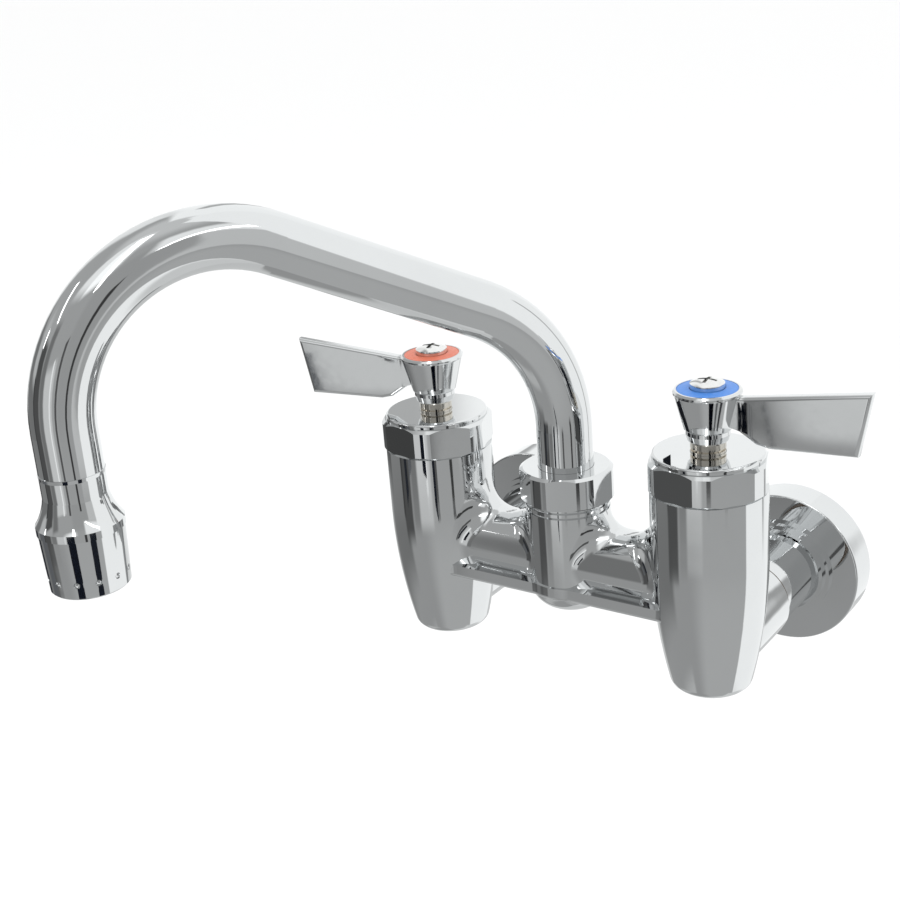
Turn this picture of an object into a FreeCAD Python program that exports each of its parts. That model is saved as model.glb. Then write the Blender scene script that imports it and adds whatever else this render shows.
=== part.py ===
import FreeCAD, Part
import math
import os

# Wall-mounted mixing faucet with two lever handles and a swinging gooseneck spout.
# Millimetres. X runs from the hot side to the cold side, Y points into the wall,
# Z is up. The origin is on the wall plane, midway between the two inlet axes.

V = FreeCAD.Vector
ORIGIN = V(0, 0, 0)
X_AXIS = V(1, 0, 0)
Y_AXIS = V(0, 1, 0)
Z_AXIS = V(0, 0, 1)

# ---- driving dimensions ----
INLET_CENTRES = 101.6        # hot inlet to cold inlet, the 4 inch standard
AXIS_TO_WALL = 70.5          # wall plane to the plane of the valve and spout axes
HALF_CENTRES = INLET_CENTRES / 2
AXIS_Y = -AXIS_TO_WALL

RUNNING_GAP = 0.07           # radial clearance of turning fits
FREE_GAP = 0.35              # clearance between pieces that never touch
EPS = 0.5                    # how far a cutting tool runs past a face

# valve columns of the body casting
COLUMN_R = 18.4
COLUMN_TOP_Z = 52.4
COLUMN_BOTTOM_Z = -15.5
TAPER_START_Z = 30.0
TAPER_ARC_R = 182.0          # the lower column curves inward on this radius
COLUMN_CURVE_STEPS = 14      # the side is one smooth curve through this many steps
COLUMN_EDGE_R = 3.4
CASTING_CAVITY_BOTTOM_Z = -10.0

# bridge between the columns and the centre post
BRIDGE_HALF_WIDTH = 13.4
BRIDGE_UNDERSIDE_Z = 8.8
BRIDGE_TOP_Z = 32.0
BRIDGE_APRON_TOP_Z = 13.4     # the flat apron ends here, under the round upper bar
BRIDGE_EDGE_R = 1.5
BRIDGE_ROUND_R = 11.5
BRIDGE_Z = 21.0              # height of the water passage
BRIDGE_BORE_R = 6.0
POST_R = 14.0
POST_TOP_Z = 41.1
POST_WAIST_Z = 13.0          # below this the post rounds off into a shallow bulge
POST_BOTTOM_Z = 2.6
POST_BOTTOM_R = 7.0
POST_BULGE = (0.78, 0.38)    # point on the bulge, as shares of its width and its height
POST_GROOVES = ((37.9, 38.6), (39.7, 40.4))   # decorative ring grooves under the nut
POST_GROOVE_R = 13.2
POST_BORE_R = 8.8
POST_BORE_BOTTOM_Z = 13.5
POST_NECK_R = 12.2
POST_NECK_TOP_Z = 47.0
BLEND_R = 8.0                # hollow corners of the apron at the columns and the post
COLUMN_BLEND_R = 10.0        # the round bar meets the columns on this radius
POST_BLEND_R = 8.0           # and the post on this one
POST_SEAM_REACH = 20.0       # the seams of the post lie within this distance of the middle
COLUMN_SEAM_START = 28.0     # and those of the columns beyond this one
BLEND_BITE = 0.12            # the blends start this far inside the columns and the post
APRON_POST_R = 14.6

# inlet bosses, shanks and wall flanges
BOSS_R = 14.0
BOSS_FACE_Y = -40.0
INLET_THREAD_R = 9.5
INLET_THREAD_END_Y = -56.0
INLET_PASSAGE_R = 7.0
WASHER_T = 1.5
INLET_WASHER_R = 13.3
SHANK_R = 13.0
PIPE_THREAD_R = 10.2         # female half inch pipe thread, drawn as a plain bore
PIPE_THREAD_DEPTH = 16.0
FLANGE_R = 27.0
FLANGE_DEPTH = 12.0
FLANGE_RIM = 2.6
FLANGE_EDGE_R = 0.6
FLANGE_FACE_T = 1.8
FLANGE_STEPS = ((17.5, 1.6), (15.7, 1.6))   # radius and height of the hub steps
FLANGE_MOUTH = (1.4, 1.1)    # width and depth of the bevel round the shank

# valve cavity
CHAMBER_R = 12.0
BONNET_THREAD_R = 14.5
BONNET_LEDGE_Z = 36.5
SEAT_BORE_R = 8.5
SEAT_BOTTOM_Z = 4.0
SEAT_LAND_Z = 12.0
SEAT_CROWN_Z = 14.0
SEAT_HOLE_R = 4.5
SEAT_CROWN_R = 6.1
GASKET_BORE_R = 12.2

# bonnet
BONNET_R = 19.0
BONNET_FLAT_R = 17.7         # centre to each flat
BONNET_HEX_TOP_Z = 62.8
BONNET_TOP_R = 17.4
BONNET_TOP_Z = 64.5
BONNET_CHAMFER = (1.1, 0.9)  # width and height of the bevels above and below the hexagon
BONNET_CAP_EDGE_R = 0.8
BONNET_SKIRT_Z = 38.0
BONNET_BORE_R = 10.0
BONNET_CEILING_Z = 55.0
BONNET_CORNER_ANGLE = -71.0  # direction of one rounded corner of the hexagon

# stem and plunger
STEM_R = 5.5
STEM_TOP_Z = 67.8
NECK_GROOVE = (65.2, 65.9, 4.7)   # ring line above the bonnet: heights and root radius
STEM_SHOULDER_R = 8.0
STEM_SHOULDER_Z = (52.4, 54.6)
STEM_TAIL_R = 5.0
STEM_TAIL_Z = 30.0
DRIVE_SIDE = 6.4             # square drive for the handle
DRIVE_TOP_Z = 77.0
RING_GROOVE_Z = (59.3, 61.3)
RING_ROOT_R = 3.8
STEM_RING_SECTION_R = 0.8
STEM_TAP_R = 2.0             # threaded hole for the handle screw
STEM_TAP_BOTTOM_Z = 70.0
PLUNGER_R = 9.6
PLUNGER_Z = (17.0, 44.0)
PLUNGER_SOCKET_Z = 26.0
KEY_REACH = 11.4
KEY_WIDTH = 3.0
KEY_BOTTOM_Z = 38.0
KEY_SLOT_TOP_Z = 51.0
SEAT_WASHER_R = 6.8
SCREW_SHANK_R = 1.9
SCREW_TAP_DEPTH = 7.0
SCREW_REACH = 6.5            # how far the washer screw enters the plunger
WASHER_SCREW_HEAD_R = 3.2
WASHER_SCREW_HEAD_H = 1.8
WASHER_SCREW_SLOT = 0.9

# handle: an inverted cone with one paddle blade
HUB_TOP_R = 10.6
HUB_TOP_Z = 84.5
HUB_FLOOR_Z = 83.0
HUB_EDGE = 0.6
# side outline of the hub as (radius, height), from its neck up to the lip
HUB_OUTLINE = ((5.7, 67.8), (6.3, 68.4), (6.9, 70.4), (6.9, 71.6), (7.5, 72.2), (10.3, 83.0), (10.6, 83.4))
RECESS_R = 9.4
INDEX_RING_BORE_R = 5.4
INDEX_RING_CROWN = (0.2, 0.35)   # how far its bore edge and its crest stand above the lip
HANDLE_SCREW_HEAD_R = 5.3
HANDLE_SCREW_HEAD_H = 4.5
HANDLE_SCREW_DOME_R = 12.0
HANDLE_SCREW_R = 2.0
HANDLE_SCREW_TIP_Z = 71.0
HANDLE_SCREW_HOLE_R = 2.3
CROSS_RECESS = (6.0, 1.1, 1.5)   # length, width and depth of each arm
BLADE_T = 4.0
BLADE_CORNER_R = 1.3
COLD_BLADE_ANGLE = 4.0
HOT_BLADE_ANGLE = 192.0
# side outline of the blade as (distance from the hub axis, height)
BLADE_OUTLINE = ((6.0, 82.4), (50.0, 88.0), (46.2, 68.3), (19.5, 67.7), (15.5, 68.6), (9.0, 73.0),
                 (6.0, 73.8))

# spout
SPOUT_SWING = -28.7          # degrees from straight out, toward the hot side
TUBE_R = 9.15
TUBE_BORE_R = 8.0
TUBE_BOTTOM_Z = 48.7
RISE_END_Z = 65.6
FIRST_BEND_R = 49.0
SLOPE = 26.0                 # degrees above horizontal
SLOPE_LENGTH = 70.5
ARCH_R = 45.8
TUBE_END_Z = 64.0

# spout nut and swivel joint
NUT_R = 15.4
NUT_FLAT_R = 14.6
NUT_TOP_Z = 52.0
NUT_LIP_Z = 49.8
NUT_HOLE_R = 9.23            # running fit on the tube
NUT_CORNER_ANGLE = -97.0
FERRULE_BOTTOM_Z = 28.0
FERRULE_BORE_R = 6.5
FERRULE_SHOULDER_R = 11.3
FERRULE_SHOULDER_Z = 47.3
FERRULE_TOP_Z = 57.0
SPOUT_RING_ZS = (33.5, 40.5)
SPOUT_RING_SECTION_R = 0.9
SPOUT_RING_GROOVE_HALF = 1.2

# outlet fitting and aerator
OUTLET_TOP_Z = 88.0          # the bell of the collar starts here as a thin edge on the tube
OUTLET_BELL_R = 9.35
OUTLET_WAIST = (10.1, 77.5)  # radius and height of a point on the bell
OUTLET_RIM_R = 12.4
OUTLET_RIM_Z = (71.0, 73.2)
OUTLET_MID_Z = 64.0
AERATOR_TOP_R = 12.1
AERATOR_BOTTOM_R = 11.35
AERATOR_BOTTOM_Z = 53.5
AERATOR_BORE_R = 10.0
OUTLET_LIP_R = 7.8
DIMPLE_COUNT = 12
DIMPLE_Z = 58.0
DIMPLE_R = 0.9
AERATOR_EDGE = 0.45
SPIGOT_BOTTOM_Z = 60.0
INSERT_TOP_Z = 58.8
SCREEN_BOTTOM_Z = 54.4
SCREEN_T = 0.8
SCREEN_PITCH = 2.0
SCREEN_HOLE = 1.3
INSERT_HOLE_R = 0.9
INSERT_RINGS = ((6, 3.2), (12, 6.4))   # number of holes and radius of each ring of holes


# ---- shape helpers ----
def rod(radius, z0, z1, x=0.0, y=0.0):
    """Vertical solid cylinder between two heights."""
    return Part.makeCylinder(radius, z1 - z0, V(x, y, z0))


def rod_y(radius, y0, y1, x=0.0, z=0.0):
    """Solid cylinder along Y."""
    return Part.makeCylinder(radius, y1 - y0, V(x, y0, z), Y_AXIS)


def ring(outer, inner, z0, z1):
    """Plain washer or bush on the Z axis."""
    return rod(outer, z0, z1).cut(rod(inner, z0 - EPS, z1 + EPS))


def turned(points):
    """Solid of revolution about Z from an outline of (radius, height) points."""
    outline = Part.makePolygon([V(r, 0, z) for r, z in points] + [V(points[0][0], 0, points[0][1])])
    return Part.Face(outline).revolve(ORIGIN, Z_AXIS, 360)


def torus(centre_r, section_r, z):
    """O-ring lying flat at height z."""
    return Part.makeTorus(centre_r, section_r, V(0, 0, z))


def hexagon(flat_r, z0, z1, corner_angle):
    """Hexagonal bar whose flats are flat_r from its axis."""
    corner_r = flat_r / math.cos(math.radians(30))
    angles = [math.radians(corner_angle + 60 * k) for k in range(7)]
    outline = Part.makePolygon([V(corner_r * math.cos(a), corner_r * math.sin(a), z0) for a in angles])
    return Part.Face(outline).extrude(V(0, 0, z1 - z0))


def placed(shape, x=0.0, y=AXIS_Y, turn=0.0):
    """Copy turned about its own Z axis and moved to (x, y)."""
    copy = shape.copy()
    copy.rotate(ORIGIN, Z_AXIS, turn)
    copy.translate(V(x, y, 0))
    return copy


def rounded_circles(shape, radius, heights):
    """Fillet the horizontal circular edges that lie at the given heights."""
    edges = []
    for edge in shape.Edges:
        flat = edge.BoundBox.ZLength < 0.01
        if flat and isinstance(edge.Curve, Part.Circle):
            if any(abs(edge.BoundBox.ZMin - z) < 0.01 for z in heights):
                edges.append(edge)
    return shape.makeFillet(radius, edges)


def save(name, shape):
    """Write one node."""
    shape.exportStep("parts/%s.step" % name)


# ---- body casting ----
def column_radius(z):
    """Outside radius of a valve column at height z."""
    drop = max(TAPER_START_Z - z, 0.0)
    return COLUMN_R - (TAPER_ARC_R - math.sqrt(TAPER_ARC_R ** 2 - drop ** 2))


def column():
    """Outside of one valve column: straight above, curving inward below."""
    step = (COLUMN_TOP_Z - COLUMN_BOTTOM_Z) / COLUMN_CURVE_STEPS
    heights = [COLUMN_TOP_Z - step * k for k in range(COLUMN_CURVE_STEPS + 1)]
    points = [V(column_radius(z), 0, z) for z in heights]
    side = Part.BSplineCurve()
    side.interpolate(points)
    rest = Part.makePolygon([points[-1], V(0, 0, COLUMN_BOTTOM_Z), V(0, 0, COLUMN_TOP_Z), points[0]])
    solid = Part.Face(Part.Wire([side.toShape()] + rest.Edges)).revolve(ORIGIN, Z_AXIS, 360)
    return rounded_circles(solid, COLUMN_EDGE_R, [COLUMN_BOTTOM_Z])


def post():
    """Outside of the centre post with the shallow bulge under the bridge."""
    bulge = Part.Arc(V(POST_R, 0, POST_WAIST_Z),
                     V(POST_BOTTOM_R + (POST_R - POST_BOTTOM_R) * POST_BULGE[0], 0,
                       POST_BOTTOM_Z + (POST_WAIST_Z - POST_BOTTOM_Z) * POST_BULGE[1]),
                     V(POST_BOTTOM_R, 0, POST_BOTTOM_Z)).toShape()
    rest = Part.makePolygon([V(POST_BOTTOM_R, 0, POST_BOTTOM_Z), V(0, 0, POST_BOTTOM_Z),
                             V(0, 0, POST_TOP_Z), V(POST_R, 0, POST_TOP_Z),
                             V(POST_R, 0, POST_WAIST_Z)])
    return Part.Face(Part.Wire([bulge] + rest.Edges)).revolve(ORIGIN, Z_AXIS, 360)


def bridge_apron():
    """Low bar with upright sides and hollow corners that run into the columns and the post."""
    low, high = BRIDGE_UNDERSIDE_Z, BRIDGE_APRON_TOP_Z
    bar = Part.makeBox(INLET_CENTRES, 2 * BRIDGE_HALF_WIDTH, high - low,
                       V(-HALF_CENTRES, AXIS_Y - BRIDGE_HALF_WIDTH, low))
    inside_r = column_radius(low) - BLEND_BITE
    bar = bar.fuse([rod(inside_r, low, high, x, AXIS_Y) for x in (-HALF_CENTRES, HALF_CENTRES)])
    bar = bar.fuse(rod(APRON_POST_R, low, high, 0, AXIS_Y)).removeSplitter()
    corners = [e for e in bar.Edges if e.BoundBox.XLength < 0.01 and abs(e.BoundBox.XMin) < HALF_CENTRES - 1]
    bar = bar.makeFillet(BLEND_R, corners)
    return bar.makeFillet(BRIDGE_EDGE_R, [e for e in bar.Edges if e.BoundBox.ZMax < low + 0.01])


def bar_seams(shape, nearest, farthest):
    """Edges where the round bar meets a column or the post, between two distances from the middle."""
    seams = []
    for edge in shape.Edges:
        box = edge.BoundBox
        along_bar = box.YLength + box.ZLength < 0.01
        at_bar = box.ZMin > BRIDGE_TOP_Z - 2 * BRIDGE_ROUND_R - 0.1 and box.ZMax < BRIDGE_TOP_Z + 0.1
        if at_bar and not along_bar and box.XLength < COLUMN_R and nearest <= abs(box.Center.x) < farthest:
            seams.append(edge)
    return seams


def bridge_round():
    """Upper half of the casting round the water passage: a round bar blended into columns and post."""
    bar = Part.makeCylinder(BRIDGE_ROUND_R, INLET_CENTRES,
                            V(-HALF_CENTRES, AXIS_Y, BRIDGE_TOP_Z - BRIDGE_ROUND_R), X_AXIS)
    shape = bar.fuse([placed(column(), x) for x in (-HALF_CENTRES, HALF_CENTRES)])
    shape = shape.fuse(rod(POST_R, POST_BOTTOM_Z, POST_TOP_Z, 0, AXIS_Y)).removeSplitter()
    shape = shape.makeFillet(POST_BLEND_R, bar_seams(shape, 0, POST_SEAM_REACH))
    shape = shape.makeFillet(COLUMN_BLEND_R, bar_seams(shape, COLUMN_SEAM_START, HALF_CENTRES))
    return shape.common(Part.makeBox(2 * INLET_CENTRES, 2 * AXIS_TO_WALL, COLUMN_TOP_Z,
                                     V(-INLET_CENTRES, -2 * AXIS_TO_WALL, BRIDGE_APRON_TOP_Z)))


def valve_body():
    """One casting: two valve columns, bridge, centre post and two inlet bosses."""
    columns = [placed(column(), x) for x in (-HALF_CENTRES, HALF_CENTRES)]
    lower = bridge_apron().fuse(columns + [placed(post())])
    lower = lower.common(rod(2 * INLET_CENTRES, COLUMN_BOTTOM_Z - EPS, BRIDGE_APRON_TOP_Z, 0, AXIS_Y))
    outside = lower.fuse(bridge_round())
    bosses = [rod_y(BOSS_R, AXIS_Y, BOSS_FACE_Y, x) for x in (-HALF_CENTRES, HALF_CENTRES)]
    outside = outside.fuse(bosses)
    outside = outside.fuse(rod(POST_NECK_R, POST_TOP_Z, POST_NECK_TOP_Z, 0, AXIS_Y))
    for low, high in POST_GROOVES:
        outside = outside.cut(placed(ring(POST_R + EPS, POST_GROOVE_R, low, high)))
    cuts = [rod(POST_BORE_R, POST_BORE_BOTTOM_Z, POST_NECK_TOP_Z + EPS, 0, AXIS_Y),
            Part.makeCylinder(BRIDGE_BORE_R, INLET_CENTRES, V(-HALF_CENTRES, AXIS_Y, BRIDGE_Z), X_AXIS)]
    for x in (-HALF_CENTRES, HALF_CENTRES):
        cuts.append(rod(SEAT_BORE_R, CASTING_CAVITY_BOTTOM_Z, SEAT_LAND_Z + EPS, x, AXIS_Y))
        cuts.append(rod(CHAMBER_R, SEAT_LAND_Z, BONNET_LEDGE_Z + EPS, x, AXIS_Y))
        cuts.append(rod(BONNET_THREAD_R, BONNET_LEDGE_Z, COLUMN_TOP_Z + EPS, x, AXIS_Y))
        cuts.append(rod_y(INLET_PASSAGE_R, AXIS_Y, INLET_THREAD_END_Y + EPS, x))
        cuts.append(rod_y(INLET_THREAD_R, INLET_THREAD_END_Y, BOSS_FACE_Y + EPS, x))
    return outside.cut(cuts)


# ---- inlets ----
def inlet_shank(x):
    """Threaded coupling between the boss and the supply pipe in the wall."""
    collar_y = BOSS_FACE_Y + WASHER_T
    shank = rod_y(INLET_THREAD_R, INLET_THREAD_END_Y, collar_y, x).fuse(rod_y(SHANK_R, collar_y, 0, x))
    shank = shank.cut(rod_y(INLET_PASSAGE_R, INLET_THREAD_END_Y - EPS, EPS, x))
    return shank.cut(rod_y(PIPE_THREAD_R, -PIPE_THREAD_DEPTH, EPS, x))


def inlet_washer(x):
    """Fibre washer clamped between the boss and the shank collar."""
    outer = rod_y(INLET_WASHER_R, BOSS_FACE_Y, BOSS_FACE_Y + WASHER_T, x)
    return outer.cut(rod_y(INLET_THREAD_R, BOSS_FACE_Y - EPS, BOSS_FACE_Y + WASHER_T + EPS, x))


def flange(x):
    """Pressed escutcheon, hollow toward the wall, with a stepped hub round the shank."""
    drum = rounded_circles(rod(FLANGE_R, 0, FLANGE_DEPTH), FLANGE_EDGE_R, [FLANGE_DEPTH])
    height = FLANGE_DEPTH
    for radius, step in FLANGE_STEPS:
        drum = drum.fuse(rod(radius, height, height + step))
        height += step
    drum = drum.cut(rod(FLANGE_R - FLANGE_RIM, -EPS, FLANGE_DEPTH - FLANGE_FACE_T))
    drum = drum.cut(rod(SHANK_R, -EPS, height + EPS))
    bevel, depth = FLANGE_MOUTH
    drum = drum.cut(Part.makeCone(SHANK_R, SHANK_R + bevel, depth, V(0, 0, height - depth)))
    drum.rotate(ORIGIN, X_AXIS, 90)
    drum.translate(V(x, 0, 0))
    return drum


# ---- valve cartridge pieces, on the Z axis ----
def seat():
    """Renewable seat with a raised crown that the washer closes on."""
    outer = rod(SEAT_BORE_R, SEAT_BOTTOM_Z, SEAT_LAND_Z)
    outer = outer.fuse(rod(SEAT_CROWN_R, SEAT_LAND_Z, SEAT_CROWN_Z))
    return outer.cut(rod(SEAT_HOLE_R, SEAT_BOTTOM_Z - EPS, SEAT_CROWN_Z + EPS))


def bonnet():
    """Hexagonal bonnet with rounded corners, a flat cap and a threaded skirt."""
    in_by, bevel_h = BONNET_CHAMFER
    head = turned([(0, COLUMN_TOP_Z), (BONNET_R - in_by, COLUMN_TOP_Z), (BONNET_R, COLUMN_TOP_Z + bevel_h),
                   (BONNET_R, BONNET_HEX_TOP_Z - bevel_h), (BONNET_R - in_by, BONNET_HEX_TOP_Z),
                   (0, BONNET_HEX_TOP_Z)])
    head = head.common(hexagon(BONNET_FLAT_R, COLUMN_TOP_Z, BONNET_HEX_TOP_Z, BONNET_CORNER_ANGLE))
    cap = rod(BONNET_TOP_R, BONNET_HEX_TOP_Z - EPS, BONNET_TOP_Z)
    cap = rounded_circles(cap, BONNET_CAP_EDGE_R, [BONNET_TOP_Z])
    head = head.fuse([cap, rod(BONNET_THREAD_R, BONNET_SKIRT_Z, COLUMN_TOP_Z)])
    head = head.cut(rod(BONNET_BORE_R, BONNET_SKIRT_Z - EPS, BONNET_CEILING_Z))
    head = head.cut(rod(STEM_R + RUNNING_GAP, BONNET_CEILING_Z - EPS, BONNET_TOP_Z + EPS))
    slot_half = KEY_WIDTH / 2 + FREE_GAP
    slot_reach = KEY_REACH + FREE_GAP
    slot = Part.makeBox(2 * slot_reach, 2 * slot_half, KEY_SLOT_TOP_Z - BONNET_SKIRT_Z + EPS,
                        V(-slot_reach, -slot_half, BONNET_SKIRT_Z - EPS))
    return head.cut(slot)


def bonnet_gasket():
    """Flat ring between the bonnet skirt and the ledge in the body."""
    return ring(BONNET_THREAD_R, GASKET_BORE_R, BONNET_LEDGE_Z, BONNET_SKIRT_Z)


def stem():
    """Turning spindle: square drive, sealed journal, thrust shoulder and threaded tail."""
    drive = Part.makeBox(DRIVE_SIDE, DRIVE_SIDE, DRIVE_TOP_Z - STEM_TOP_Z,
                         V(-DRIVE_SIDE / 2, -DRIVE_SIDE / 2, STEM_TOP_Z))
    shaft = rod(STEM_R, STEM_SHOULDER_Z[1], STEM_TOP_Z)
    shaft = shaft.cut([ring(STEM_R + EPS, RING_ROOT_R, RING_GROOVE_Z[0], RING_GROOVE_Z[1]),
                       ring(STEM_R + EPS, NECK_GROOVE[2], NECK_GROOVE[0], NECK_GROOVE[1])])
    shaft = shaft.fuse([drive, rod(STEM_SHOULDER_R, STEM_SHOULDER_Z[0], STEM_SHOULDER_Z[1]),
                        rod(STEM_TAIL_R, STEM_TAIL_Z, STEM_SHOULDER_Z[0])])
    return shaft.cut(rod(STEM_TAP_R, STEM_TAP_BOTTOM_Z, DRIVE_TOP_Z + EPS))


def stem_oring():
    """Rubber ring in the stem groove."""
    centre_r = RING_ROOT_R + STEM_RING_SECTION_R + 0.07
    return torus(centre_r, STEM_RING_SECTION_R, sum(RING_GROOVE_Z) / 2)


def plunger():
    """Keyed sleeve that the stem thread lifts and lowers without turning it."""
    low, high = PLUNGER_Z
    sleeve = rod(PLUNGER_R, low, high)
    key = Part.makeBox(2 * KEY_REACH, KEY_WIDTH, high - KEY_BOTTOM_Z,
                       V(-KEY_REACH, -KEY_WIDTH / 2, KEY_BOTTOM_Z))
    sleeve = sleeve.fuse(key)
    sleeve = sleeve.cut(rod(STEM_TAIL_R + RUNNING_GAP, PLUNGER_SOCKET_Z, high + EPS))
    return sleeve.cut(rod(SCREW_SHANK_R, low - EPS, low + SCREW_TAP_DEPTH))


def seat_washer():
    """Rubber disc under the plunger, just clear of the seat crown."""
    return ring(SEAT_WASHER_R, SCREW_SHANK_R, SEAT_CROWN_Z + FREE_GAP, PLUNGER_Z[0])


def washer_screw():
    """Brass screw that holds the seat washer to the plunger."""
    under_head = SEAT_CROWN_Z + FREE_GAP
    head = rod(WASHER_SCREW_HEAD_R, under_head - WASHER_SCREW_HEAD_H, under_head)
    reach = WASHER_SCREW_HEAD_R + EPS
    slot = Part.makeBox(2 * reach, WASHER_SCREW_SLOT, WASHER_SCREW_SLOT,
                        V(-reach, -WASHER_SCREW_SLOT / 2, under_head - WASHER_SCREW_HEAD_H))
    return head.cut(slot).fuse(rod(SCREW_SHANK_R, under_head, PLUNGER_Z[0] + SCREW_REACH))


# ---- handle ----
def blade():
    """Upright paddle, deeper toward the tip, with eased edges. It points along +X."""
    outline = Part.makePolygon([V(r, -BLADE_T / 2, z) for r, z in BLADE_OUTLINE + BLADE_OUTLINE[:1]])
    plate = Part.Face(outline).extrude(V(0, BLADE_T, 0))
    long_edges = [e for e in plate.Edges if e.BoundBox.YLength < 0.01 and e.BoundBox.XMax > HUB_TOP_R]
    return plate.makeFillet(BLADE_CORNER_R, long_edges)


def handle():
    """Cone hub and blade as one casting, with the recesses for stem, ring and screw."""
    hub = turned([(0, STEM_TOP_Z)] + list(HUB_OUTLINE) +
                 [(HUB_TOP_R, HUB_TOP_Z - HUB_EDGE), (HUB_TOP_R - HUB_EDGE, HUB_TOP_Z), (0, HUB_TOP_Z)])
    lever = hub.fuse(blade()).removeSplitter()
    lever = lever.cut(rod(RECESS_R, HUB_FLOOR_Z, HUB_TOP_Z + EPS))
    socket = Part.makeBox(DRIVE_SIDE, DRIVE_SIDE, DRIVE_TOP_Z + EPS - STEM_TOP_Z + EPS,
                          V(-DRIVE_SIDE / 2, -DRIVE_SIDE / 2, STEM_TOP_Z - EPS))
    return lever.cut([socket, rod(HANDLE_SCREW_HOLE_R, DRIVE_TOP_Z, HUB_FLOOR_Z + EPS)])


def index_ring():
    """Coloured ring let into the top of the hub."""
    inner, crest = INDEX_RING_CROWN
    return turned([(INDEX_RING_BORE_R, HUB_FLOOR_Z), (RECESS_R, HUB_FLOOR_Z), (RECESS_R, HUB_TOP_Z - 0.2),
                   (RECESS_R - 0.4, HUB_TOP_Z), (INDEX_RING_BORE_R + 0.4, HUB_TOP_Z + crest),
                   (INDEX_RING_BORE_R, HUB_TOP_Z + inner)])


def handle_screw():
    """Domed cross-recess screw that pulls the handle onto the stem."""
    length, width, depth = CROSS_RECESS
    top = HUB_FLOOR_Z + HANDLE_SCREW_HEAD_H
    head = rod(HANDLE_SCREW_HEAD_R, HUB_FLOOR_Z, top)
    head = head.common(Part.makeSphere(HANDLE_SCREW_DOME_R, V(0, 0, top - HANDLE_SCREW_DOME_R)))
    for turn in (0, 90):
        arm = Part.makeBox(length, width, depth + EPS, V(-length / 2, -width / 2, top - depth))
        arm.rotate(ORIGIN, Z_AXIS, turn)
        head = head.cut(arm)
    return head.fuse(rod(HANDLE_SCREW_R, HANDLE_SCREW_TIP_Z, HUB_FLOOR_Z))


# ---- spout, built in the XZ plane with its reach along +X ----
def spout_centreline():
    """Rise, first bend, straight slope, arch and down leg. Returns the wire and the reach."""
    slope = math.radians(SLOPE)
    sine, cosine = math.sin(slope), math.cos(slope)
    start = V(0, 0, TUBE_BOTTOM_Z)
    bend_start = V(0, 0, RISE_END_Z)
    bend_centre = V(FIRST_BEND_R, 0, RISE_END_Z)
    half = math.radians(180 - (90 - SLOPE) / 2)
    bend_mid = bend_centre + V(math.cos(half), 0, math.sin(half)) * FIRST_BEND_R
    bend_end = bend_centre + V(-sine, 0, cosine) * FIRST_BEND_R
    slope_end = bend_end + V(cosine, 0, sine) * SLOPE_LENGTH
    arch_centre = slope_end + V(sine, 0, -cosine) * ARCH_R
    middle = math.radians((90 + SLOPE) / 2)
    arch_mid = arch_centre + V(math.cos(middle), 0, math.sin(middle)) * ARCH_R
    arch_end = arch_centre + V(ARCH_R, 0, 0)
    end = V(arch_end.x, 0, TUBE_END_Z)
    pieces = [Part.makeLine(start, bend_start), Part.Arc(bend_start, bend_mid, bend_end).toShape(),
              Part.makeLine(bend_end, slope_end), Part.Arc(slope_end, arch_mid, arch_end).toShape(),
              Part.makeLine(arch_end, end)]
    return Part.Wire(pieces), arch_end.x


SPOUT_LINE, SPOUT_REACH = spout_centreline()
SPOUT_TURN = SPOUT_SWING - 90


def spout_tube():
    """Bent tube of constant bore."""
    def pipe(radius):
        circle = Part.Wire(Part.makeCircle(radius, V(0, 0, TUBE_BOTTOM_Z), Z_AXIS))
        return SPOUT_LINE.makePipeShell([circle], True, False)
    return pipe(TUBE_R).cut(pipe(TUBE_BORE_R))


def spout_ferrule():
    """Brass swivel end brazed into the tube, turning in the bore of the post."""
    root_r = POST_BORE_R - RUNNING_GAP - 2 * SPOUT_RING_SECTION_R
    outer = rod(POST_BORE_R - RUNNING_GAP, FERRULE_BOTTOM_Z, FERRULE_SHOULDER_Z)
    half = SPOUT_RING_GROOVE_HALF
    for z in SPOUT_RING_ZS:
        outer = outer.cut(ring(POST_BORE_R + EPS, root_r, z - half, z + half))
    outer = outer.fuse([rod(FERRULE_SHOULDER_R, FERRULE_SHOULDER_Z, TUBE_BOTTOM_Z),
                        rod(TUBE_BORE_R, TUBE_BOTTOM_Z, FERRULE_TOP_Z)])
    return outer.cut(rod(FERRULE_BORE_R, FERRULE_BOTTOM_Z - EPS, FERRULE_TOP_Z + EPS))


def spout_orings():
    """Two rubber rings that seal the swivel."""
    centre_r = POST_BORE_R - RUNNING_GAP - SPOUT_RING_SECTION_R + 0.02
    return Part.makeCompound([torus(centre_r, SPOUT_RING_SECTION_R - 0.03, z) for z in SPOUT_RING_ZS])


def spout_nut():
    """Captive hexagonal nut that holds the ferrule shoulder down."""
    body = turned([(0, POST_TOP_Z), (NUT_R - 0.5, POST_TOP_Z), (NUT_R, POST_TOP_Z + 0.5),
                   (NUT_R, NUT_TOP_Z - 0.8), (NUT_R - 1.2, NUT_TOP_Z), (0, NUT_TOP_Z)])
    body = body.common(hexagon(NUT_FLAT_R, POST_TOP_Z, NUT_TOP_Z, NUT_CORNER_ANGLE))
    thread = rod(POST_NECK_R, POST_TOP_Z - EPS, NUT_LIP_Z)
    return body.cut([thread, rod(NUT_HOLE_R, NUT_LIP_Z - EPS, NUT_TOP_Z + EPS)])


def glide_washer():
    """Slippery washer under the nut's lip."""
    return ring(POST_NECK_R, NUT_HOLE_R, TUBE_BOTTOM_Z + FREE_GAP, NUT_LIP_Z)


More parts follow.
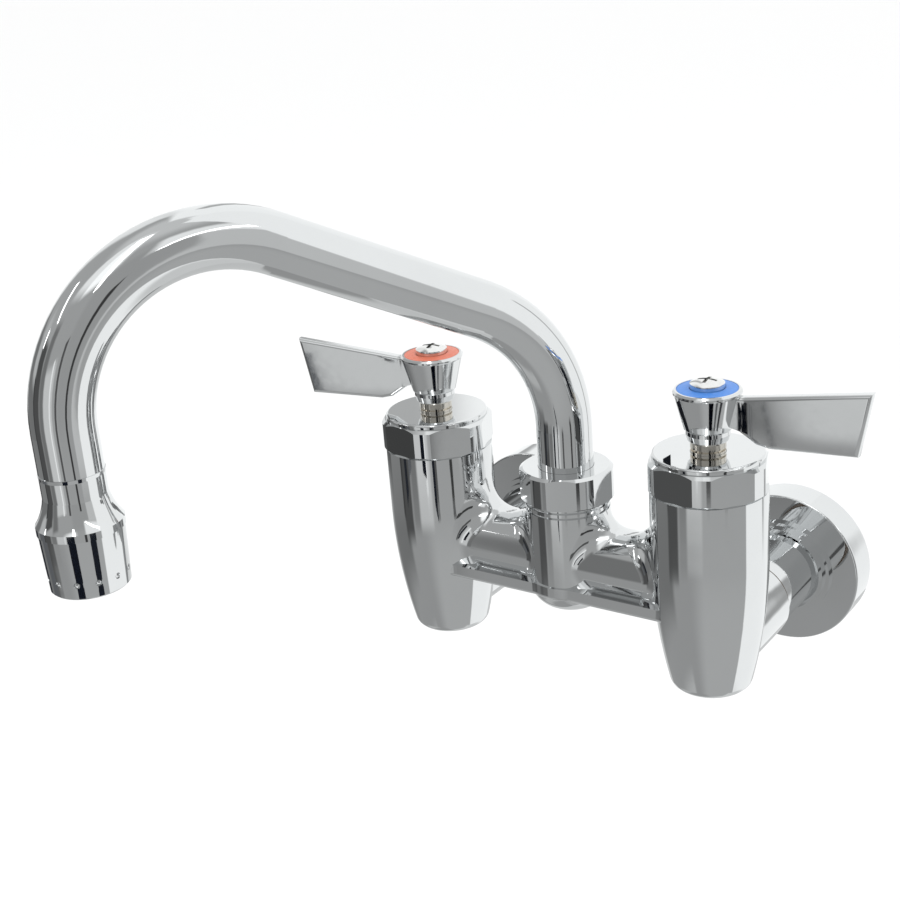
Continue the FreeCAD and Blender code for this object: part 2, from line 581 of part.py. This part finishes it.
def aerator_radius(z):
    """Outside radius of the tapered outlet at height z."""
    share = (z - AERATOR_BOTTOM_Z) / (OUTLET_RIM_Z[0] - AERATOR_BOTTOM_Z)
    return AERATOR_BOTTOM_R + (AERATOR_TOP_R - AERATOR_BOTTOM_R) * share


def outlet_fitting():
    """Bell-shaped collar brazed on the tube end, carrying the aerator thread inside."""
    rim_low, rim_high = OUTLET_RIM_Z
    bell = Part.Arc(V(OUTLET_RIM_R, 0, rim_high), V(OUTLET_WAIST[0], 0, OUTLET_WAIST[1]),
                    V(OUTLET_BELL_R, 0, OUTLET_TOP_Z)).toShape()
    low_r = aerator_radius(OUTLET_MID_Z)
    rest = Part.makePolygon([V(OUTLET_BELL_R, 0, OUTLET_TOP_Z), V(TUBE_R, 0, OUTLET_TOP_Z),
                             V(TUBE_R, 0, OUTLET_MID_Z), V(low_r, 0, OUTLET_MID_Z),
                             V(AERATOR_TOP_R, 0, rim_low), V(OUTLET_RIM_R, 0, rim_low),
                             V(OUTLET_RIM_R, 0, rim_high)])
    collar = Part.Face(Part.Wire([bell] + rest.Edges)).revolve(ORIGIN, Z_AXIS, 360)
    return collar.fuse(ring(AERATOR_BORE_R, OUTLET_LIP_R, SPIGOT_BOTTOM_Z, OUTLET_MID_Z))


def aerator_housing():
    """Tapered sleeve screwed onto the collar, with a ring of wrench dimples."""
    top = OUTLET_MID_Z
    floor = SCREEN_BOTTOM_Z
    sleeve = turned([(0, AERATOR_BOTTOM_Z), (AERATOR_BOTTOM_R - AERATOR_EDGE, AERATOR_BOTTOM_Z),
                     (AERATOR_BOTTOM_R, AERATOR_BOTTOM_Z + AERATOR_EDGE), (aerator_radius(top), top),
                     (0, top)])
    sleeve = sleeve.cut([rod(AERATOR_BORE_R, floor, top + EPS),
                         rod(OUTLET_LIP_R, AERATOR_BOTTOM_Z - EPS, floor + EPS)])
    surface_r = aerator_radius(DIMPLE_Z)
    for k in range(DIMPLE_COUNT):
        angle = math.radians(360 / DIMPLE_COUNT * k)
        centre = V(surface_r * math.cos(angle), surface_r * math.sin(angle), DIMPLE_Z)
        sleeve = sleeve.cut(Part.makeSphere(DIMPLE_R, centre))
    return sleeve


def aerator_washer():
    """Rubber washer between the collar spigot and the insert."""
    return ring(AERATOR_BORE_R, OUTLET_LIP_R - 1.0, INSERT_TOP_Z, SPIGOT_BOTTOM_Z)


def aerator_insert():
    """Plastic flow straightener with a grid of holes."""
    low, high = SCREEN_BOTTOM_Z + SCREEN_T, INSERT_TOP_Z
    holes = [rod(INSERT_HOLE_R, low - EPS, high + EPS)]
    for count, radius in INSERT_RINGS:
        for k in range(count):
            angle = math.radians(360 / count * k)
            x, y = radius * math.cos(angle), radius * math.sin(angle)
            holes.append(rod(INSERT_HOLE_R, low - EPS, high + EPS, x, y))
    return rod(AERATOR_BORE_R, low, high).cut(holes)


def aerator_screen():
    """Wire screen at the mouth, as a thin perforated disc."""
    low = SCREEN_BOTTOM_Z
    rows = range(-3, 4)
    holes = []
    for i in rows:
        for j in rows:
            x, y = i * SCREEN_PITCH, j * SCREEN_PITCH
            if math.hypot(x, y) < OUTLET_LIP_R - SCREEN_HOLE:
                corner = V(x - SCREEN_HOLE / 2, y - SCREEN_HOLE / 2, low - EPS)
                holes.append(Part.makeBox(SCREEN_HOLE, SCREEN_HOLE, SCREEN_T + 2 * EPS, corner))
    return rod(AERATOR_BORE_R, low, low + SCREEN_T).cut(holes)


# ---- assembly ----
def main():
    os.makedirs("parts", exist_ok=True)
    save("valve_body", valve_body())
    sides = (("hot", -HALF_CENTRES, HOT_BLADE_ANGLE), ("cold", HALF_CENTRES, COLD_BLADE_ANGLE))
    for side, x, blade_angle in sides:
        save(side + "_inlet_shank", inlet_shank(x))
        save(side + "_inlet_washer", inlet_washer(x))
        save(side + "_flange", flange(x))
        for name, make in (("seat", seat), ("seat_washer", seat_washer), ("washer_screw", washer_screw),
                           ("plunger", plunger), ("bonnet", bonnet), ("bonnet_gasket", bonnet_gasket)):
            save(side + "_" + name, placed(make(), x))
        for name, make in (("stem", stem), ("stem_oring", stem_oring), ("handle", handle),
                           ("index_ring", index_ring), ("handle_screw", handle_screw)):
            save(side + "_" + name, placed(make(), x, turn=blade_angle))
    for name, make in (("spout_nut", spout_nut), ("glide_washer", glide_washer),
                       ("spout_ferrule", spout_ferrule), ("spout_orings", spout_orings)):
        save(name, placed(make()))
    save("spout_tube", placed(spout_tube(), turn=SPOUT_TURN))
    for name, make in (("outlet_fitting", outlet_fitting), ("aerator_housing", aerator_housing),
                       ("aerator_washer", aerator_washer), ("aerator_insert", aerator_insert),
                       ("aerator_screen", aerator_screen)):
        outlet = make()
        outlet.translate(V(SPOUT_REACH, 0, 0))
        save(name, placed(outlet, turn=SPOUT_TURN))


main()
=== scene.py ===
import math

import bpy
from mathutils import Matrix, Vector


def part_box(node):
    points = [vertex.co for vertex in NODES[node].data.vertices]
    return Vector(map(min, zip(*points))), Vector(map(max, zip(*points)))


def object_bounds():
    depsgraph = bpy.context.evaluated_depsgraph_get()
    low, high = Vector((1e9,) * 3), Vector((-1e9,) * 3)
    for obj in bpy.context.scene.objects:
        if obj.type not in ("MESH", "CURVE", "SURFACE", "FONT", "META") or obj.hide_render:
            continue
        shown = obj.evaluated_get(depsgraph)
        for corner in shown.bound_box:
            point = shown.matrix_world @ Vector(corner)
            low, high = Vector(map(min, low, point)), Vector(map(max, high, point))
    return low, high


# Looks for the wall-mounted mixing faucet. Metres, in the row frame: the wall is the
# plane y = 0, X runs from the hot side to the cold side, Z is up.

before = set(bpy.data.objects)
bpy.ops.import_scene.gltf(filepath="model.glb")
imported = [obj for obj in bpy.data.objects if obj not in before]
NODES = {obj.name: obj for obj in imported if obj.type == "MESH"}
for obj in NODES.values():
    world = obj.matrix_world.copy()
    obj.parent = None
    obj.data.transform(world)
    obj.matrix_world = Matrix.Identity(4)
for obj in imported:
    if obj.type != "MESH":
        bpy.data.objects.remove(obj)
CAD_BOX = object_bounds()

# ---- camera: azimuth 0 looks along +Y, in degrees ----
CAMERA_AZIMUTH = 36.11
CAMERA_ELEVATION = 20.37
CAMERA_ROLL = -4.57
CAMERA_DISTANCE = 0.5025
CAMERA_TARGET = Vector((-0.0462, -0.0707, 0.0501))
CAMERA_LENS = 58.26          # millimetres on a 36 mm sensor

# ---- room ----
FLOOR_DROP = 0.22            # the floor lies this far under the faucet
FLOOR_HALF_SIZE = 12.0
CEILING_HEIGHT = 1.6         # the lamps hang this far above the faucet
EVEN_LIGHT = 1.15            # light on matte surfaces
SEEN_WHITE = 1.0             # backdrop, as the camera sees it
STUDIO_TINT = (0.985, 1.0, 1.0, 1.0)
WHITE = (1.0, 1.0, 1.0, 1.0)


def axis_of(piece):
    """Upright axis of a turned piece, as a point."""
    low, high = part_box(piece)
    return Vector(((low[0] + high[0]) / 2, (low[1] + high[1]) / 2, 0.0))


# ---- levers and plating ----
HUB_AXES = {"hot": axis_of("hot_stem"), "cold": axis_of("cold_stem")}
BLADE_MIDDLE_Z = 0.0765
BLADE_ROOT_REACH = 0.0115    # where the blade leaves the hub, from the hub's axis
BLADE_ROOT_SOFT = 0.001      # the bulge across the blade fades in this far to both sides of the root
BLADE_TIP_REACH = 0.045
BLADE_CROWN_UP = 4.2         # how much the blades bulge across and along, in 1/metres
BLADE_CROWN_ALONG = 0.85
CHROME = (0.76, 0.77, 0.775)
SMEARED = 0.94               # colour of the smears, as a share of the clean plating
BUFFING_HEIGHT = 0.000004
MOTTLED = 0.8                # darker tone of the minor materials, as a share of their colour


# ---- node helpers ----
def add_node(tree, kind, inputs=None, **settings):
    """A shader node with its settings, and its inputs given as values or as sockets to link."""
    made = tree.nodes.new("ShaderNode" + kind)
    for key, value in settings.items():
        setattr(made, key, value)
    for key, value in (inputs or {}).items():
        if isinstance(value, bpy.types.NodeSocket):
            tree.links.new(value, made.inputs[key])
        else:
            made.inputs[key].default_value = value
    return made


def calc(tree, operation, *values):
    """The result of one Math node."""
    return add_node(tree, "Math", dict(enumerate(values)), operation=operation).outputs[0]


def step_up(tree, value, start, end):
    """0 below start, 1 above end, and smooth between."""
    inputs = {"Value": value, "From Min": start, "From Max": end}
    return add_node(tree, "MapRange", inputs, interpolation_type="SMOOTHSTEP").outputs[0]


def inside(tree, value, low, high, soft):
    """1 between low and high, with edges of width soft."""
    rise = step_up(tree, value, low - soft / 2, low + soft / 2)
    fall = step_up(tree, value, high - soft / 2, high + soft / 2)
    return calc(tree, "SUBTRACT", rise, fall)


# ---- studio: what the polished metal reflects ----
# Each card is azimuth from and to, elevation from and to, softness and brightness, painted in this order.
STUDIO_BASE = 0.42
STUDIO_CARDS = (
    (-200, 200, 62, 100, 24, 0.66),      # ceiling
    (-200, 200, -100, -20, 8, 0.36),     # table top
    (0, 112, -100, -20, 34, 0.47),       # its lighter right half
    (-112, -52, -34, -20, 10, 0.20),     # its dark left edge
    (-108, -28, -62, -50, 8, 0.52),      # pale edge of the table
    (-112, -30, 12, 62, 16, 0.44),       # left wall
    (-102, -34, -20, 10, 8, 0.20),       # dark door on the left
    (-60, -37, -27, 20, 5, 0.09),        # the darkest of it
    (-78, -60, 0, 24, 8, 0.55),          # lamp on the left wall
    (-34, -18, -24, 30, 8, 0.20),        # dark curtain
    (-18, 12, -24, 10, 6, 0.68),         # window in front
    (2, 6, -22, 12, 2, 1.0),             # its bright edge
    (28, 76, -20, 40, 12, 0.38),         # wall beside the camera
    (76, 100, -20, 26, 3, 0.62),         # side panel
    (60, 102, 28, 48, 8, 1.0),           # high window on the right
    (-34, 34, 44, 80, 12, 1.0),          # soft box above the camera
    (-4, 30, 42, 78, 8, 1.3),            # its bright part
    (99, 200, -100, 80, 3, 1.08),        # white backdrop, right
    (101, 200, -100, -52, 10, 0.72),     # its foot, right
    (-200, -128, -100, 76, 8, 1.12),     # white backdrop, left
    (-130, -108, -14, 46, 12, 0.95),     # its curved end
    (-200, -122, -100, -24, 8, 0.66),    # its foot, left
    (-126, -98, -21, -14, 3, 0.08),      # dark skirting line
    (-144, -139, 4, 46, 3, 0.50),        # seam of the backdrop, left
    (145, 149, -24, 26, 3, 0.42),        # seam of the backdrop, right
    (21, 27, -23, 14, 1.5, 0.10),        # light stand
    (55, 61, -23, 10, 1.5, 0.05),        # second stand
    (-62, -57, -23, 4, 1.5, 0.06),       # door frame
)

# Small dark cards close to the metal, which only reflections see.
# Before a hub: piece, reflected azimuth from and to, brightness.
HUB_CARDS = (
    ("cold", 29, 45, 0.0),
    ("cold", 53, 60, 0.12),
    ("cold", 68, 76, 0.04),
    ("cold", -108, -84, 0.01),
    ("hot", 29, 45, 0.0),
    ("hot", 53, 59, 0.12),
)
HUB_SURFACE_R = 0.0085       # middle radius of the hub's cone
HUB_CARD_REACH = 0.0060      # from that surface out to the card
HUB_CARD_Z = 0.0725
HUB_CARD_HEIGHT = 0.013
# Before the aerator: azimuth, elevation, distance, width, height, brightness.
AERATOR_CARDS = (
    (21, -31, 0.09, 0.030, 0.075, 0.005),
    (74, -31, 0.09, 0.024, 0.075, 0.01),
    (-96, -28, 0.09, 0.030, 0.075, 0.02),
    (-64, -28, 0.09, 0.032, 0.075, 0.13),
)


def make_world():
    """White to the camera, even light on matte surfaces, and the studio cards in reflections."""
    world = bpy.data.worlds.new("studio")
    bpy.context.scene.world = world
    world.use_nodes = True
    tree = world.node_tree
    tree.nodes.clear()
    direction = add_node(tree, "TexCoord").outputs["Generated"]
    parts = add_node(tree, "SeparateXYZ", {0: direction}).outputs
    flipped = calc(tree, "MULTIPLY", parts["Y"], -1.0)
    azimuth = calc(tree, "DEGREES", calc(tree, "ARCTAN2", parts["X"], flipped))
    elevation = calc(tree, "DEGREES", calc(tree, "ARCSINE", parts["Z"]))
    brightness = None
    for az0, az1, el0, el1, soft, value in STUDIO_CARDS:
        mask = calc(tree, "MULTIPLY", inside(tree, azimuth, az0, az1, soft),
                    inside(tree, elevation, el0, el1, soft))
        below = brightness or STUDIO_BASE
        mixed = add_node(tree, "Mix", {0: mask, 2: below, 3: value}, data_type="FLOAT")
        brightness = mixed.outputs[0]
    path = add_node(tree, "LightPath").outputs
    studio = add_node(tree, "Background", {"Color": STUDIO_TINT, "Strength": brightness})
    even = add_node(tree, "Background", {"Color": WHITE, "Strength": EVEN_LIGHT})
    white = add_node(tree, "Background", {"Color": WHITE, "Strength": SEEN_WHITE})
    soft = add_node(tree, "MixShader", {0: path["Is Diffuse Ray"], 1: studio.outputs[0], 2: even.outputs[0]})
    seen = add_node(tree, "MixShader", {0: path["Is Camera Ray"], 1: soft.outputs[0], 2: white.outputs[0]})
    add_node(tree, "OutputWorld", {"Surface": seen.outputs[0]})


# Ceiling lamps as (x, y) of both ends, in units of the ceiling height, and their width and brightness.
LAMPS = (
    (0.53, -1.30, 0.00, -0.30, 0.13, 3.0),
    (1.62, -0.92, 1.12, 0.14, 0.15, 3.0),
    (-1.07, -1.38, -1.02, -0.52, 0.12, 3.0),
    (-2.90, -1.95, -1.96, -1.32, 0.18, 2.5),
)


def make_lamps():
    """Long ceiling lamps, which draw the bright lines along the spout."""
    for index, (x0, y0, x1, y1, width, radiance) in enumerate(LAMPS):
        start = Vector((x0, y0, 1.0)) * CEILING_HEIGHT
        end = Vector((x1, y1, 1.0)) * CEILING_HEIGHT
        along = end - start
        data = bpy.data.lights.new("lamp_%d" % index, "AREA")
        data.shape = "RECTANGLE"
        data.size = along.length
        data.size_y = width * CEILING_HEIGHT
        data.energy = radiance * math.pi * data.size * data.size_y
        lamp = bpy.data.objects.new(data.name, data)
        lamp.location = (start + end) / 2
        lamp.rotation_euler = (0.0, 0.0, math.atan2(along.y, along.x))
        lamp.visible_camera = False
        bpy.context.scene.collection.objects.link(lamp)


def add_card(index, place, azimuth, width, height, brightness):
    """One upright card with its face turned along the azimuth."""
    material = bpy.data.materials.new("card_cloth_%d" % index)
    material.use_nodes = True
    surface = material.node_tree.nodes["Principled BSDF"]
    surface.inputs["Base Color"].default_value = (0.004, 0.006, 0.012, 1.0)
    surface.inputs["Roughness"].default_value = 1.0
    surface.inputs["Specular IOR Level"].default_value = 0.0
    surface.inputs["Emission Color"].default_value = (0.95, 0.98, 1.0, 1.0)
    surface.inputs["Emission Strength"].default_value = brightness
    mesh = bpy.data.meshes.new("card_%d" % index)
    corners = [(x * width / 2, 0.0, z * height / 2) for x, z in ((-1, -1), (1, -1), (1, 1), (-1, 1))]
    mesh.from_pydata(corners, [], [(0, 1, 2, 3)])
    mesh.materials.append(material)
    card = bpy.data.objects.new(mesh.name, mesh)
    card.location = place
    card.rotation_euler.z = azimuth
    card.visible_camera = card.visible_diffuse = card.visible_shadow = False
    bpy.context.scene.collection.objects.link(card)


def heading(azimuth):
    """Level unit vector: azimuth 0 points to -Y, from the wall to the room."""
    return Vector((math.sin(azimuth), -math.cos(azimuth), 0.0))


def make_cards(camera_place):
    """Dark cards before the hubs and the aerator."""
    count = 0
    for side, start, end, brightness in HUB_CARDS:
        axis = HUB_AXES[side]
        to_camera = camera_place - axis
        camera_azimuth = math.atan2(to_camera.x, -to_camera.y)
        middle = math.radians(start + end) / 2
        spread = math.radians(end - start)
        normal = (camera_azimuth + middle) / 2
        place = axis + heading(normal) * HUB_SURFACE_R + heading(middle) * HUB_CARD_REACH
        place.z = HUB_CARD_Z
        width = 2 * (HUB_SURFACE_R * math.sin(spread / 4) + HUB_CARD_REACH * math.tan(spread / 2))
        add_card(count, place, middle, width, HUB_CARD_HEIGHT, brightness)
        count += 1
    low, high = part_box("aerator_housing")
    outlet = (Vector(low) + Vector(high)) / 2
    for azimuth, elevation, distance, width, height, brightness in AERATOR_CARDS:
        turn = math.radians(azimuth)
        place = outlet + heading(turn) * distance
        place.z += distance * math.tan(math.radians(elevation))
        add_card(count, place, turn, width, height, brightness)
        count += 1


def make_camera():
    azimuth, elevation = math.radians(CAMERA_AZIMUTH), math.radians(CAMERA_ELEVATION)
    back = Vector((math.sin(azimuth) * math.cos(elevation), -math.cos(azimuth) * math.cos(elevation),
                   math.sin(elevation)))
    data = bpy.data.cameras.new("camera")
    data.lens = CAMERA_LENS
    data.clip_start = 0.01
    data.clip_end = 50.0
    camera = bpy.data.objects.new("camera", data)
    camera.location = CAMERA_TARGET + back * CAMERA_DISTANCE
    camera.rotation_mode = "QUATERNION"
    roll = Matrix.Rotation(math.radians(CAMERA_ROLL), 3, "Z").to_quaternion()
    camera.rotation_quaternion = (-back).to_track_quat("-Z", "Y") @ roll
    bpy.context.scene.collection.objects.link(camera)
    bpy.context.scene.camera = camera
    return camera.location


def make_floor():
    """Pale floor well under the faucet. Reflections show the studio instead of it."""
    mesh = bpy.data.meshes.new("floor")
    reach = FLOOR_HALF_SIZE
    corners = [(x * reach, y * reach, 0.0) for x, y in ((-1, -1), (1, -1), (1, 1), (-1, 1))]
    mesh.from_pydata(corners, [], [(0, 1, 2, 3)])
    floor = bpy.data.objects.new("floor", mesh)
    floor.location.z = CAD_BOX[0].z - FLOOR_DROP
    floor.visible_glossy = False
    bpy.context.scene.collection.objects.link(floor)
    material = bpy.data.materials.new("floor_paint")
    material.use_nodes = True
    surface = material.node_tree.nodes["Principled BSDF"]
    surface.inputs["Base Color"].default_value = (0.9, 0.9, 0.9, 1.0)
    surface.inputs["Roughness"].default_value = 0.9
    mesh.materials.append(material)


# ---- materials ----
def new_material(name):
    """An empty node material: returns it, its tree, its surface and the place on the piece in metres."""
    material = bpy.data.materials.new(name)
    material.use_nodes = True
    tree = material.node_tree
    return material, tree, tree.nodes["Principled BSDF"], add_node(tree, "TexCoord").outputs["Object"]


def noise(tree, place, scale, detail=3.0, roughness=0.5):
    inputs = {"Vector": place, "Scale": scale, "Detail": detail, "Roughness": roughness}
    return add_node(tree, "TexNoise", inputs).outputs["Fac"]


def stretched(tree, place, scale):
    """Coordinates scaled per axis, for streaks."""
    return add_node(tree, "VectorMath", {0: place, 1: scale}, operation="MULTIPLY").outputs[0]


def set_range(tree, value, low, high, start=0.3, end=0.7):
    """Map a noise value to the range low to high."""
    inputs = {"Value": value, "From Min": start, "From Max": end, "To Min": low, "To Max": high}
    return add_node(tree, "MapRange", inputs).outputs[0]


def blade_crown(tree, place):
    """Normal of the very flat bulge of the lever blades, nothing on their hubs."""
    parts = add_node(tree, "SeparateXYZ", {0: place}).outputs
    side = calc(tree, "SUBTRACT", calc(tree, "ABSOLUTE", parts["X"]), HUB_AXES["cold"].x)
    depth = calc(tree, "SUBTRACT", parts["Y"], HUB_AXES["cold"].y)
    squares = calc(tree, "ADD", calc(tree, "POWER", side, 2.0), calc(tree, "POWER", depth, 2.0))
    reach = calc(tree, "SQRT", squares)
    on_blade = calc(tree, "MAXIMUM", reach, BLADE_ROOT_REACH)
    along = calc(tree, "POWER", calc(tree, "SUBTRACT", on_blade, BLADE_TIP_REACH), 2.0)
    up = calc(tree, "POWER", calc(tree, "SUBTRACT", parts["Z"], BLADE_MIDDLE_Z), 2.0)
    root_start, root_end = BLADE_ROOT_REACH - BLADE_ROOT_SOFT, BLADE_ROOT_REACH + BLADE_ROOT_SOFT
    up = calc(tree, "MULTIPLY", up, step_up(tree, reach, root_start, root_end))
    height = calc(tree, "ADD", calc(tree, "MULTIPLY", along, -BLADE_CROWN_ALONG),
                  calc(tree, "MULTIPLY", up, -BLADE_CROWN_UP))
    bump = add_node(tree, "Bump", {"Height": height, "Strength": 1.0, "Distance": 1.0})
    return bump.outputs[0]


def chrome(name, ripple_scale, ripple_height, rough=(0.02, 0.06), streaks=(400.0, 400.0, 400.0), crown=None):
    """Bright plating: a slow ripple from casting and polishing, fine buffing lines and faint smears."""
    material, tree, surface, place = new_material(name)
    smear = noise(tree, place, 55.0, 5.0, 0.6)
    buffing = noise(tree, stretched(tree, place, streaks), 1.0, 2.0)
    tint = add_node(tree, "Mix", {0: smear, 6: (*CHROME, 1.0), 7: (*[c * SMEARED for c in CHROME], 1.0)},
                    data_type="RGBA")
    tree.links.new(tint.outputs[2], surface.inputs["Base Color"])
    surface.inputs["Metallic"].default_value = 1.0
    tree.links.new(set_range(tree, calc(tree, "MULTIPLY", smear, buffing), rough[0], rough[1], 0.1, 0.4),
                   surface.inputs["Roughness"])
    ripple_inputs = {"Height": noise(tree, place, ripple_scale, 2.0), "Strength": 1.0,
                     "Distance": ripple_height}
    if crown:
        ripple_inputs["Normal"] = crown(tree, place)
    ripple = add_node(tree, "Bump", ripple_inputs)
    lines = add_node(tree, "Bump", {"Height": buffing, "Strength": 0.25, "Distance": BUFFING_HEIGHT,
                                    "Normal": ripple.outputs[0]})
    tree.links.new(lines.outputs[0], surface.inputs["Normal"])
    return material


def plain(name, colour, metallic, rough, grain, height):
    """Minor materials: a base colour with mottling, roughness variation and a fine grain."""
    material, tree, surface, place = new_material(name)
    value = noise(tree, place, grain, 4.0, 0.6)
    dark = tuple(c * MOTTLED for c in colour)
    tint = add_node(tree, "Mix", {0: value, 6: (*colour, 1.0), 7: (*dark, 1.0)}, data_type="RGBA")
    tree.links.new(tint.outputs[2], surface.inputs["Base Color"])
    surface.inputs["Metallic"].default_value = metallic
    tree.links.new(set_range(tree, value, rough * 0.8, rough * 1.2), surface.inputs["Roughness"])
    bump = add_node(tree, "Bump", {"Height": value, "Strength": 0.6, "Distance": height})
    tree.links.new(bump.outputs[0], surface.inputs["Normal"])
    return material


def make_materials():
    """One finish for each of the record's material slots."""
    return {
        "chrome_casting": chrome("chrome_casting", 45.0, 0.00006),
        "chrome_trim": chrome("chrome_trim", 60.0, 0.00001),
        "chrome_spout": chrome("chrome_spout", 40.0, 0.00002),
        "chrome_handle": chrome("chrome_handle", 70.0, 0.00002, (0.04, 0.12), crown=blade_crown),
        "steel_screw": plain("steel_screw", (0.88, 0.88, 0.87), 1.0, 0.10, 300.0, 0.000004),
        "steel_screen": plain("steel_screen", (0.55, 0.55, 0.54), 1.0, 0.3, 900.0, 0.00001),
        "nickel_brass": plain("nickel_brass", (0.74, 0.70, 0.63), 1.0, 0.12, 500.0, 0.00001),
        "brass": plain("brass", (0.72, 0.50, 0.20), 1.0, 0.28, 400.0, 0.00002),
        "rubber": plain("rubber", (0.018, 0.018, 0.02), 0.0, 0.6, 800.0, 0.00002),
        "fibre": plain("fibre", (0.11, 0.085, 0.065), 0.0, 0.8, 1200.0, 0.00004),
        "nylon": plain("nylon", (0.82, 0.81, 0.77), 0.0, 0.4, 600.0, 0.00001),
        "hot_mark": plain("hot_mark", (0.84, 0.20, 0.11), 0.0, 0.35, 900.0, 0.00001),
        "cold_mark": plain("cold_mark", (0.055, 0.26, 0.79), 0.0, 0.35, 900.0, 0.00001),
    }


def main():
    bpy.context.scene.view_settings.view_transform = "Standard"
    make_world()
    make_lamps()
    make_cards(make_camera())
    make_floor()
    finishes = make_materials()
    for node in NODES.values():
        for slot in node.material_slots:
            slot.material = finishes[slot.material.name.split(".")[0]]


main()
